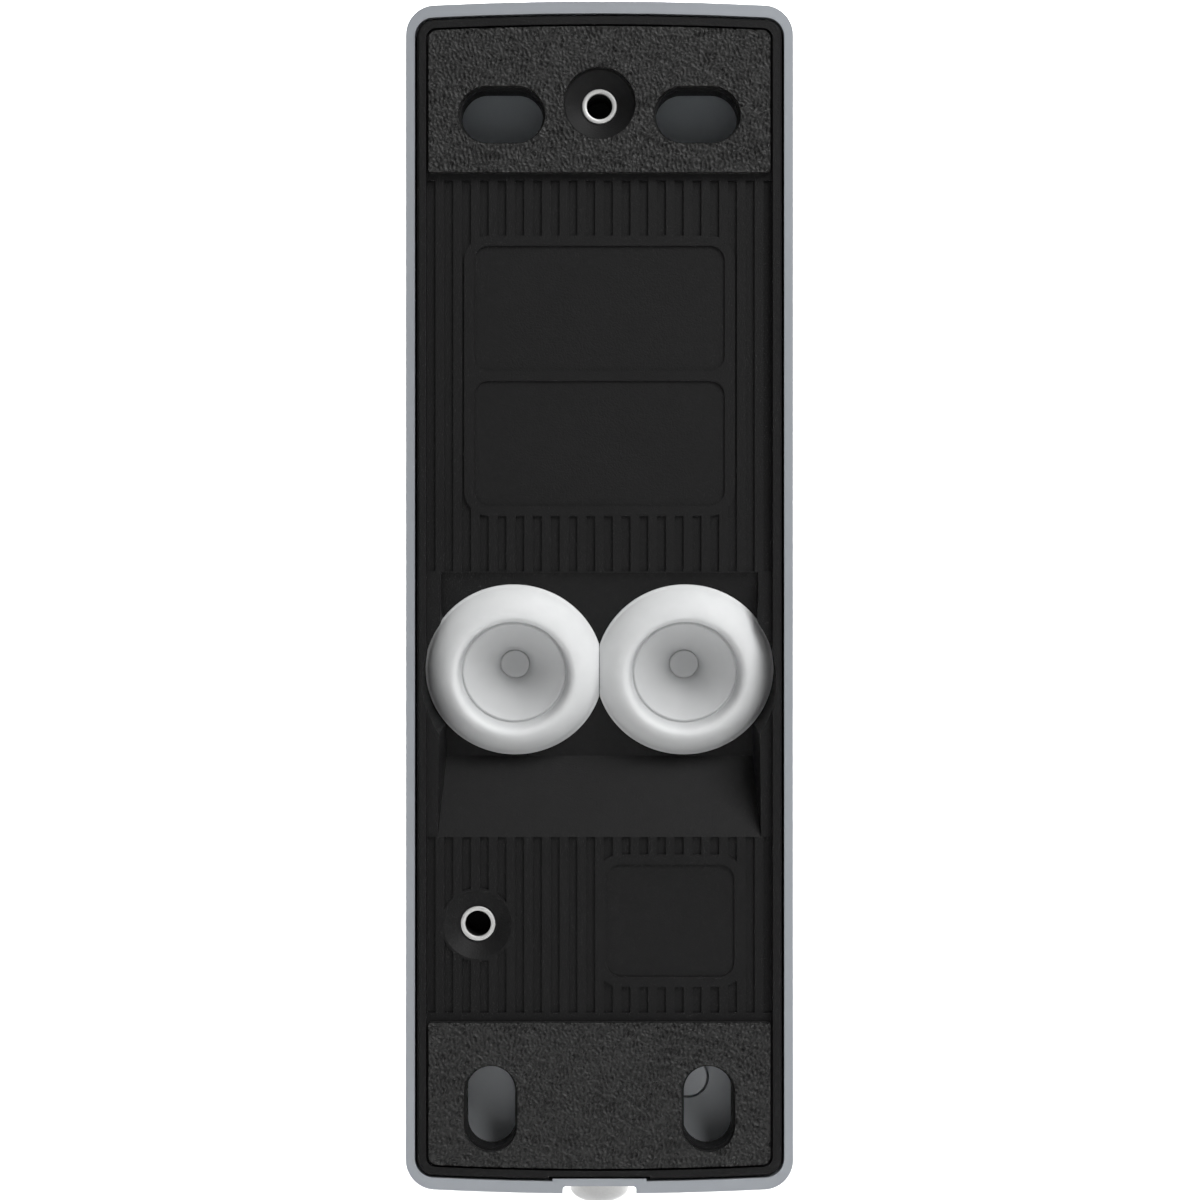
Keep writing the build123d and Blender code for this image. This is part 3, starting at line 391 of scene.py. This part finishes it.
# ---------------------------------------------------------------------------------------------
# Thread inserts: turned steel bushings pressed into the chassis, with a rounded lip and a cut thread.
THREAD_PITCH = 0.7
TOOTH = 0.34
INSERT_BORE = 1.7
BUSHING_AROUND = 96
BUSHING_STEPS = 72
BORE_SHADE_BELOW = 3.4 * MM
steel = Finish("turned_steel", Metallic=1.0)
lathe_marks = steel.noise(6.0, 2.0, 0.6)
steel.set("Base Color", steel.blend(lathe_marks, (0.42, 0.42, 0.42, 1), (0.56, 0.56, 0.555, 1)))
steel.set("Roughness", 0.07 + lathe_marks * 0.07)
steel.relief(lathe_marks, 0.01, 0.4)

plated = Finish("zinc_plate", Metallic=0.75)
facing = plated.noise(9.0, 3.0, 0.6)
# Painted shade: deeper than about 2.6 mm below the wall face, the plating's colour fades to near black,
# standing in for the shade inside the bore.
depth = plated.ramp((plated.split()[1] + BORE_SHADE_BELOW) * 1000.0, (0.05, 0.0), (0.85, 1.0))
bright = plated.blend(facing, (0.60, 0.60, 0.59, 1), (0.72, 0.72, 0.71, 1))
plated.set("Base Color", plated.blend(depth, (0.02, 0.02, 0.02, 1), bright))
plated.set("Roughness", 0.42 + facing * 0.16)
plated.relief(facing, 0.01, 0.5)


def bushing(outer, bore, length):
    """Closed ring surface: the outside runs down at the outer radius, the inside comes back up with a
    helical tooth, radius = bore + depth * |saw(height / pitch - angle / turn)|."""
    angle = np.linspace(0, 2 * np.pi, BUSHING_AROUND, endpoint=False)
    lip = [(outer, -length), (outer, -0.10), (outer - 0.03, -0.03), (outer - 0.10, 0.0)]
    lip += [(bore + 0.10, 0.0), (bore + 0.05, -0.03), (bore + 0.03, -0.10)]
    top = lathe(np.array(lip), BUSHING_AROUND)
    h = np.linspace(-0.2, -length, BUSHING_STEPS)[:, None]
    saw = (h / THREAD_PITCH - angle / (2 * np.pi)) % 1.0
    r = bore + TOOTH * np.abs(2 * saw - 1) * np.clip((-h - 0.15) / 0.4, 0, 1)
    inside = np.stack([r * np.cos(angle), r * np.sin(angle), h + 0 * angle], -1)
    return np.vstack([top, inside, top[:1]])


for name in ("upper", "lower"):
    normal = mount_of(f"{name}_thread")[1]
    low, high = (np.array(corner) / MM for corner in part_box(f"{name}_thread_insert"))
    radius = (high[0] - low[0]) / 2
    centre = np.array([(low[0] + high[0]) / 2, high[1], (low[2] + high[2]) / 2])
    grid = set_on(bushing(radius, INSERT_BORE, high[1] - low[1]), centre, normal)
    surface(f"{name}_bushing", grid, plated, "chassis", [f"{name}_thread_insert"])
dress(steel, "lid_screws", "board_screws", "camera_screws", "clamp_nut", "screw_washer")


# ---------------------------------------------------------------------------------------------
# Cover screw: a domed pan head turned from stainless bar, with a pinned six-sided recess, under the
# cover's bottom edge.
SCREW_AROUND = 96
HEAD_SIDE = 0.9
SHANK_RADIUS = 1.98
DOME_TURN = 0.37 * np.pi
RECESS_FLAT = 1.342
RECESS_DEPTH = 1.9
PIN_RADIUS = 0.5
low, high = (np.array(corner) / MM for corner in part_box("cover_screw"))
seat_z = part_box("screw_washer")[0][2] / MM
head_radius = (high[0] - low[0]) / 2
head_height = seat_z - low[2]
shank = high[2] - seat_z


def six_sided(flat, height):
    """One grid row of a hexagon: radius = flat / cos(angle from the nearest flat's middle)."""
    angle = np.linspace(0, 2 * np.pi, SCREW_AROUND, endpoint=False)
    radius = flat / np.cos((angle + np.pi / 6) % (np.pi / 3) - np.pi / 6)
    return np.stack([radius * np.cos(angle), radius * np.sin(angle), height + 0 * angle], -1)[None]


bow = np.linspace(0, DOME_TURN, 16)
dome = np.column_stack([head_radius * np.cos(bow), HEAD_SIDE + (head_height - HEAD_SIDE) * np.sin(bow)])
outside = [(0, -shank), (1.5, -shank), (SHANK_RADIUS, -shank + 0.5), (SHANK_RADIUS, -0.02)]
outside += [(2.1, 0), (head_radius - 0.1, 0), (head_radius, 0.1)]
rim = head_height - 0.03
floor = head_height - RECESS_DEPTH
pin = [(PIN_RADIUS, floor), (PIN_RADIUS, rim - 0.2), (PIN_RADIUS - 0.1, rim - 0.1), (0, rim - 0.1)]
rows = [
    lathe(np.vstack([outside, dome]), SCREW_AROUND),
    six_sided(RECESS_FLAT + 0.06, rim),
    six_sided(RECESS_FLAT, rim - 0.06),
    six_sided(RECESS_FLAT, floor),
    lathe(np.array(pin), SCREW_AROUND),
]
middle = np.array([(low[0] + high[0]) / 2, (low[1] + high[1]) / 2, seat_z])
grid = set_on(np.vstack(rows), middle, (0, 0, -1))
surface("cover_screw_head", grid, steel, "cover_screw", ["cover_screw"], smooth=False)


# ---------------------------------------------------------------------------------------------
# Cover: zinc casting in fine silver paint, with the paint's slight orange peel and metal flake.
paint = Finish("silver_paint", Metallic=0.35, IOR=1.5)
flake = paint.noise(16.0, 1.0)
peel = paint.noise(1.2, 2.0)
paint.set("Base Color", paint.blend(flake, (0.29, 0.31, 0.335, 1), (0.39, 0.41, 0.44, 1)))
paint.set("Roughness", 0.36 + flake * 0.14)
paint.relief(peel * 0.8 + flake * 0.2, 0.012, 0.5)
dress(paint, "cover_shell")

primer = Finish("liner_paint", IOR=1.5)
mist = primer.noise(6.0, 2.0)
# Painted light: below the middle of the cover the liner's colour turns pale, so the lower liner seen
# through its slots looks more brightly lit than the upper one.
painted_light_low = primer.ramp(primer.split()[2] * 10.0 + 0.5, (0.0, 1.0), (0.5, 0.0))
tint = primer.blend(mist, (0.30, 0.33, 0.355, 1), (0.38, 0.41, 0.435, 1))
primer.set("Base Color", primer.blend(painted_light_low, tint, (0.70, 0.73, 0.76, 1)))
primer.set("Roughness", 0.5 + mist * 0.15)
primer.relief(mist, 0.01, 0.5)
dress(primer, "upper_liner", "lower_liner")

nickel = Finish("plated_magnet", Metallic=0.4)
haze = nickel.noise(4.0, 3.0)
nickel.set("Base Color", nickel.blend(haze, (0.50, 0.52, 0.54, 1), (0.62, 0.64, 0.66, 1)))
nickel.set("Roughness", 0.4 + haze * 0.15)
dress(nickel, "tamper_magnet")


# ---------------------------------------------------------------------------------------------
# Front pane: smoked acrylic bonded into the cover, polished, with faint wiping marks.
acrylic = Finish("black_pane", IOR=1.49, Specular_IOR_Level=0.3, Coat_Weight=0.15, Coat_Roughness=0.05)
smear = acrylic.noise(0.08, 4.0, 0.6)
acrylic.set("Base Color", acrylic.blend(smear, (0.006, 0.006, 0.007, 1), (0.010, 0.010, 0.011, 1)))
acrylic.set("Roughness", 0.05 + smear * 0.08)
dress(acrylic, "front_window")


# ---------------------------------------------------------------------------------------------
# Call button: brushed steel cap with circular brushing round its dish, in a milky light ring.
brushed = Finish("brushed_steel", Metallic=1.0)
bx, _, bz = brushed.split()
low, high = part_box("call_button")
bz_mid = (low[2] + high[2]) / 2
radius = (bx * bx + (bz - bz_mid) * (bz - bz_mid)) ** 0.5
strokes = {"W": radius * 9000.0, "Scale": 1.0, "Detail": 2.0}
rings = brushed.node("ShaderNodeTexNoise", {"noise_dimensions": "1D"}, strokes)
brushed.set("Base Color", brushed.blend(rings, (0.48, 0.49, 0.50, 1), (0.64, 0.65, 0.66, 1)))
brushed.set("Roughness", 0.24 + rings * 0.16)
brushed.relief(rings, 0.01, 0.5)
dress(brushed, "call_button", "network_jack", "microphone", "speaker_basket")

milky = Finish("diffuser", IOR=1.45, Subsurface_Weight=0.3, Subsurface_Scale=0.003)
veil = milky.noise(3.0, 2.0)
milky.set("Base Color", milky.blend(veil, (0.70, 0.73, 0.75, 1), (0.78, 0.80, 0.81, 1)))
milky.set("Roughness", 0.35 + veil * 0.1)
dress(milky, "light_ring", "ring_leds", "infrared_leds")


# ---------------------------------------------------------------------------------------------
# Lens and small front parts: black anodised barrel, coated glass, woven mesh, soft foam.
glass = Finish("clear_pane", IOR=1.49, Specular_IOR_Level=0.3, Transmission_Weight=0.9)
film = glass.noise(0.1, 2.0)
glass.set("Base Color", glass.blend(film, (0.80, 0.84, 0.88, 1), (0.88, 0.90, 0.92, 1)))
glass.set("Roughness", 0.02 + film * 0.04)
dress(glass, "lens_cover_glass", "lens_element")

anodised = Finish("lens_black", IOR=1.5)
satin = anodised.noise(5.0, 2.0)
anodised.set("Base Color", anodised.blend(satin, (0.010, 0.010, 0.011, 1), (0.018, 0.018, 0.020, 1)))
anodised.set("Roughness", 0.35 + satin * 0.2)
dress(anodised, "lens_barrel", "lens_holder", "call_switch", "reset_switch", "board_parts", "tamper_sensor")

THREADS = 12000.0
woven = Finish("black_mesh", IOR=1.5)
mx, _, mz = woven.split()
across = woven.node("ShaderNodeMath", {"operation": "SINE"}, {0: mx * THREADS})
upright = woven.node("ShaderNodeMath", {"operation": "SINE"}, {0: mz * THREADS})
threads = across * upright
woven.set("Base Color", woven.ramp(threads * 0.5 + 0.5, (0.35, 0.004), (0.75, 0.035)))
woven.set("Roughness", 0.5 + threads * 0.1)
woven.relief(threads * 0.5 + 0.5, 0.1, 0.8)
dress(woven, "speaker_mesh")

soft = Finish("black_foam", IOR=1.4)
pores = soft.cells(2.5)
soft.set("Base Color", soft.ramp(pores, (0.1, 0.012), (0.7, 0.045)))
soft.set("Roughness", 0.8 + pores * 0.1)
soft.relief(pores, 0.12, 0.8)
dress(soft, "lid_seal", "speaker_seal", "microphone_seal", "microphone_foam", "window_tape", "speaker_cone")


# ---------------------------------------------------------------------------------------------
# Electronics: green glass-epoxy boards, terminal block, copper coil and ribbon.
board = Finish("circuit_board", IOR=1.5, Coat_Weight=0.3)
tracks = board.noise(0.9, 2.0)
board.set("Base Color", board.ramp(tracks, (0.44, (0.010, 0.070, 0.030)), (0.56, (0.018, 0.120, 0.050))))
board.set("Roughness", 0.3 + tracks * 0.2)
board.relief(tracks, 0.03, 0.5)
dress(board, "main_board", "camera_board", "led_board", "reader_board", "ring_led_board")

green = Finish("terminal_green", IOR=1.5)
speck = green.noise(4.0, 2.0)
green.set("Base Color", green.blend(speck, (0.03, 0.22, 0.09, 1), (0.04, 0.28, 0.12, 1)))
green.set("Roughness", 0.4 + speck * 0.15)
dress(green, "terminal_block")

copper = Finish("copper", Metallic=1.0)
turns = copper.noise(3.0, 1.0)
copper.set("Base Color", copper.blend(turns, (0.60, 0.28, 0.14, 1), (0.72, 0.36, 0.20, 1)))
copper.set("Roughness", 0.25 + turns * 0.15)
dress(copper, "reader_coil")

amber = Finish("ribbon", IOR=1.6)
lines = amber.noise(1.0, 1.0)
amber.set("Base Color", amber.blend(lines, (0.35, 0.16, 0.03, 1), (0.45, 0.22, 0.05, 1)))
amber.set("Roughness", 0.25 + lines * 0.1)
dress(amber, "camera_flex")


# ---------------------------------------------------------------------------------------------
# Room: pale floor that sweeps up into a backdrop. One broad soft lamp stands high in front of the
# wall side, and three lamps behind the object wash the floor and the backdrop.
FLOOR_Z = -0.11
NEAR_Y = 2.5
BEND_Y = -0.45
BEND_RADIUS = 0.35
ROOM_TOP = 2.5
ROOM_HALF = 2.5
WORLD_STRENGTH = 0.2
card = Finish("pale_card", Roughness=0.9)
tone = card.noise(0.02, 2.0)
card.set("Base Color", card.blend(tone, (0.86, 0.86, 0.86, 1), (0.90, 0.90, 0.90, 1)))


def sweep():
    """Floor and wall in one sheet: depth and height follow a straight run, a quarter circle and a
    straight rise, the same for every X."""
    bend = np.linspace(0, np.pi / 2, 24)
    y = np.concatenate([[NEAR_Y], BEND_Y - BEND_RADIUS * np.sin(bend), [BEND_Y - BEND_RADIUS]])
    z = np.concatenate([[0.0], BEND_RADIUS - BEND_RADIUS * np.cos(bend), [ROOM_TOP]]) + FLOOR_Z
    x = np.linspace(-ROOM_HALF, ROOM_HALF, 5)
    return np.stack(np.broadcast_arrays(x[None, :], y[:, None], z[:, None]), -1)


backdrop = bpy.data.meshes.new("backdrop")
grid = sweep()
rows, columns = grid.shape[:2]
i, j = np.meshgrid(np.arange(rows - 1), np.arange(columns - 1), indexing="ij")
corner = i * columns + j
quads = np.stack([corner, corner + 1, corner + columns + 1, corner + columns], -1)
backdrop.from_pydata(grid.reshape(-1, 3).tolist(), [], quads.reshape(-1, 4).tolist())
backdrop.shade_smooth()
backdrop.materials.append(card.material)
room = bpy.data.objects.new("backdrop", backdrop)
bpy.context.scene.collection.objects.link(room)


def lamp(name, place, target, size, watts, spread=180):
    """Square area lamp at one point, facing another, with the angle in degrees that its light spreads."""
    light = bpy.data.lights.new(name, "AREA")
    light.size = size
    light.energy = watts
    light.spread = math.radians(spread)
    made = bpy.data.objects.new(name, light)
    made.location = place
    made.rotation_euler = (Vector(target) - Vector(place)).to_track_quat("-Z", "Y").to_euler()
    bpy.context.scene.collection.objects.link(made)


lamp("key", (-0.52, 0.68, 0.82), (0, 0, 0), 0.7, 13.5)
lamp("wash_left", (0.80, -0.35, 0.50), (0.0, -0.80, -0.03), 0.5, 5.5, 80)
lamp("wash_right", (-0.80, -0.35, 0.50), (0.0, -0.80, -0.03), 0.5, 5.5, 80)
lamp("wash_floor", (0.0, -0.50, 0.70), (0.0, -0.55, -0.11), 0.4, 3, 70)
world = bpy.data.worlds.new("room")
world.use_nodes = True
sky = world.node_tree.nodes["Background"]
sky.inputs["Color"].default_value = (1, 1, 1, 1)
sky.inputs["Strength"].default_value = WORLD_STRENGTH
bpy.context.scene.world = world
